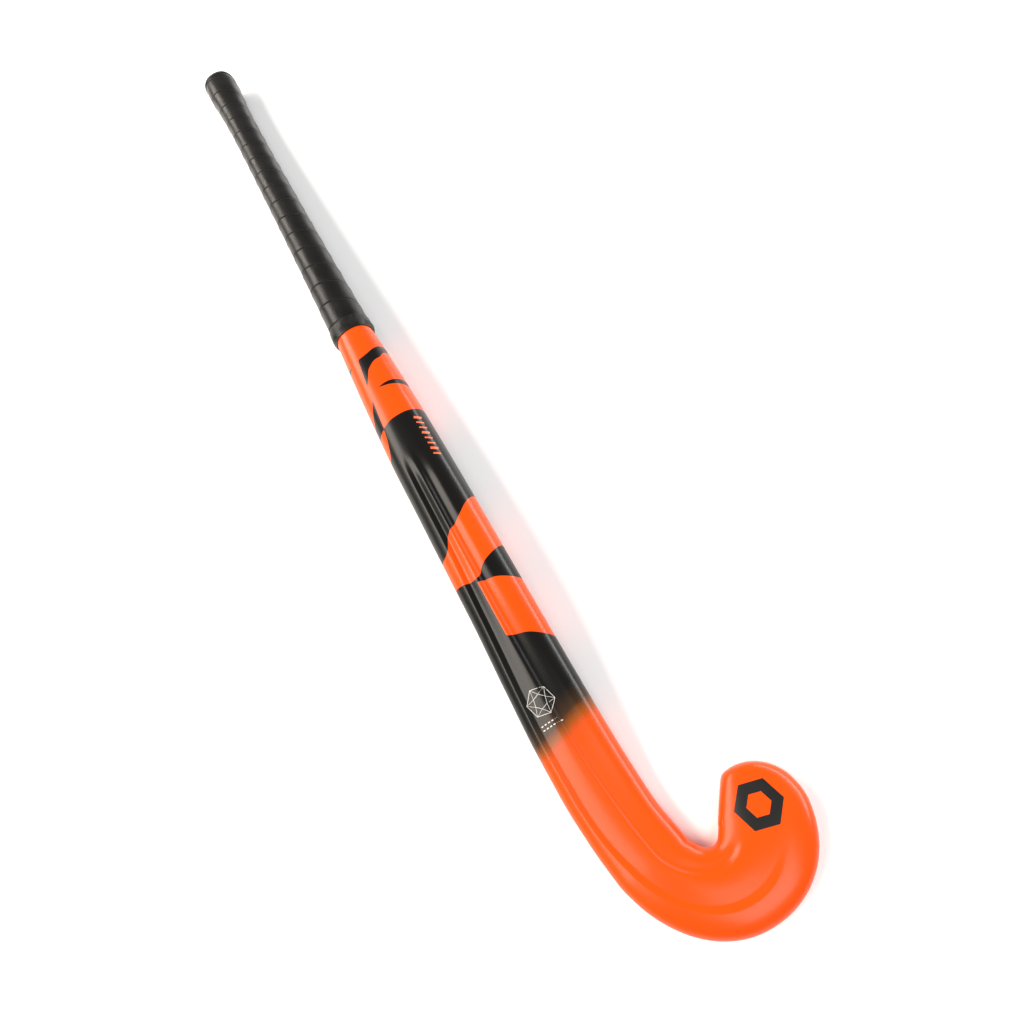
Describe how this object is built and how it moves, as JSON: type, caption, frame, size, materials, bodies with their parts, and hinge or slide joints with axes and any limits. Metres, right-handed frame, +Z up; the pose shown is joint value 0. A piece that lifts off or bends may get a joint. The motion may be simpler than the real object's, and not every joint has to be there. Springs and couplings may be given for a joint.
{
  "type": "field hockey stick",
  "caption": "Bowed composite field hockey stick with a hooked head, a channelled rounded back, a flat playing face and a wound grip.",
  "frame": {"origin": "centre of the bounding box, on the ground under the stick, which lies playing face down", "axes": "+X from the butt to the head, +Y to the side the toe turns up, +Z up out of the rounded back"},
  "size_m": [0.927, 0.1302, 0.0483],
  "materials": {
    "lacquered_back": "satin lacquer, orange with black fields",
    "lacquered_face": "satin lacquer, orange with black fields",
    "carbon_laminate": "bare moulded laminate",
    "polyurethane_foam": "closed cell foam",
    "aramid_ply": "woven ply set in resin",
    "cap_rubber": "matte",
    "adhesive_tape": "double sided tape",
    "grip_strip": "soft polyurethane chamois",
    "finishing_vinyl": "satin vinyl"
  },
  "bodies": {
    "root": {"back_shell": "lacquered_back", "face_shell": "lacquered_face", "inner_tube_heel_side": "carbon_laminate", "inner_tube_toe_side": "carbon_laminate", "head_core": "polyurethane_foam", "face_impact_ply": "aramid_ply", "edge_impact_ply": "aramid_ply", "handle_plug": "polyurethane_foam", "butt_cap": "cap_rubber", "grip_underlay": "adhesive_tape", "grip_wrap": "grip_strip", "finishing_tape": "finishing_vinyl"}
  },
  "joints": []
}
